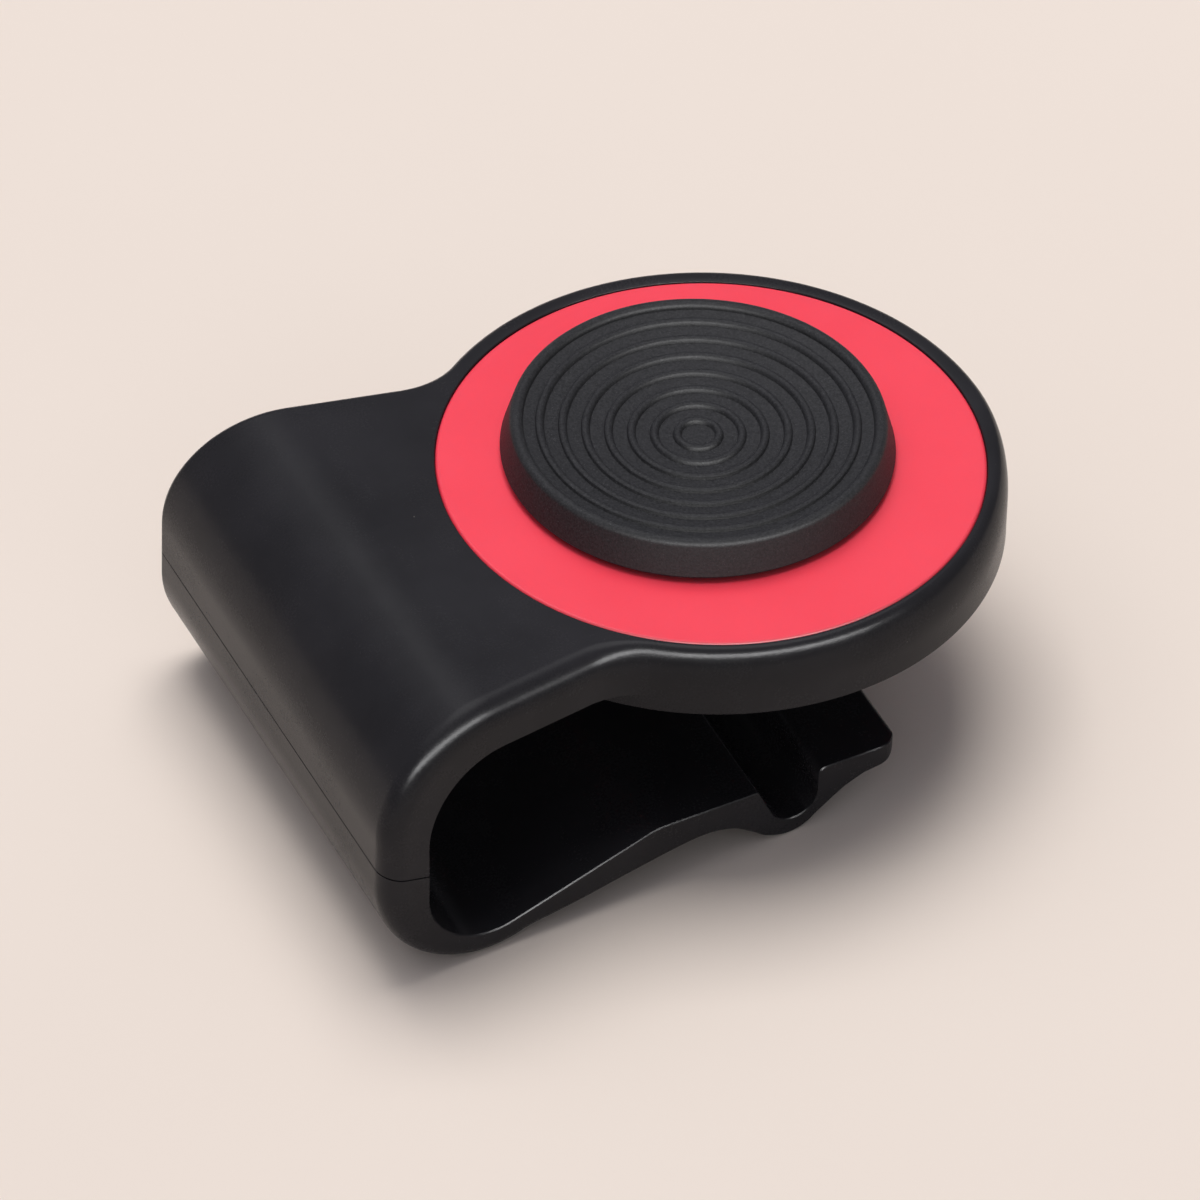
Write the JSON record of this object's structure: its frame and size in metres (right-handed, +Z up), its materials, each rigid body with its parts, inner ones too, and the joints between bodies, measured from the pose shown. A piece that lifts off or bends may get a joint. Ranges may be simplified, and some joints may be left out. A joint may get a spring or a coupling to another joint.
{
  "type": "clip-on thumb clicker",
  "caption": "Moulded C-shaped clip with a round head, a flush red ring, and a ringed, dished thumb pad that floats and presses to click.",
  "frame": {"origin": "middle of the footprint on the surface that the part stands on", "axes": "+X from the back bend towards the head and toe, +Y across the clip, +Z up from the surface; the strap and head slope down towards +X by 2.96 degrees"},
  "size_m": [0.0428, 0.0322, 0.0186],
  "materials": {
    "clip": "fine matte moulded",
    "pad": "fine matte, slightly sparkling grain",
    "trim": "satin translucent red",
    "cover": "matte moulded",
    "slides": "natural white moulded",
    "spring_steel": "bright spring steel",
    "screws": "nickel plated",
    "bush": "turned",
    "felt": "dense felt",
    "tape": "adhesive film"
  },
  "bodies": {
    "jaw": {"clip_jaw": "clip"},
    "clip": {"clip_frame": "clip", "clamp_spring": "spring_steel", "trim_ring": "trim", "ring_tape": "tape", "bottom_cover": "cover", "cover_screws": "screws", "snap_dome": "spring_steel", "dome_retainer": "cover", "felt_ring": "felt"},
    "slide": {"cross_slide": "slides"},
    "carrier": {"pad_carrier": "slides", "stem_bush": "bush", "return_spring": "spring_steel"},
    "pad": {"thumb_pad": "pad", "pad_core": "slides", "striker_disc": "screws", "stem_screw": "screws"}
  },
  "joints": [
    {"name": "jaw_opening", "type": "hinge", "parent": "jaw", "child": "clip", "pos_m": [-0.02127, 0, 0.00802], "axis": [0, -1, 0], "range_deg": [0, 8], "stiffness_Nm_per_rad": 0.5, "deforming": ["clamp_spring"]},
    {"name": "pad_shift_x", "type": "slide", "parent": "clip", "child": "slide", "axis": [0.9987, 0, -0.0517], "range_m": [-0.00097, 0.00173]},
    {"name": "pad_shift_y", "type": "slide", "parent": "slide", "child": "carrier", "axis": [0, 1, 0], "range_m": [-0.00227, 0.00043]},
    {"name": "pad_press", "type": "slide", "parent": "carrier", "child": "pad", "axis": [-0.0517, 0, -0.9987], "range_m": [0, 0.00025], "stiffness_N_per_m": 4000, "deforming": ["snap_dome", "return_spring"]}
  ]
}
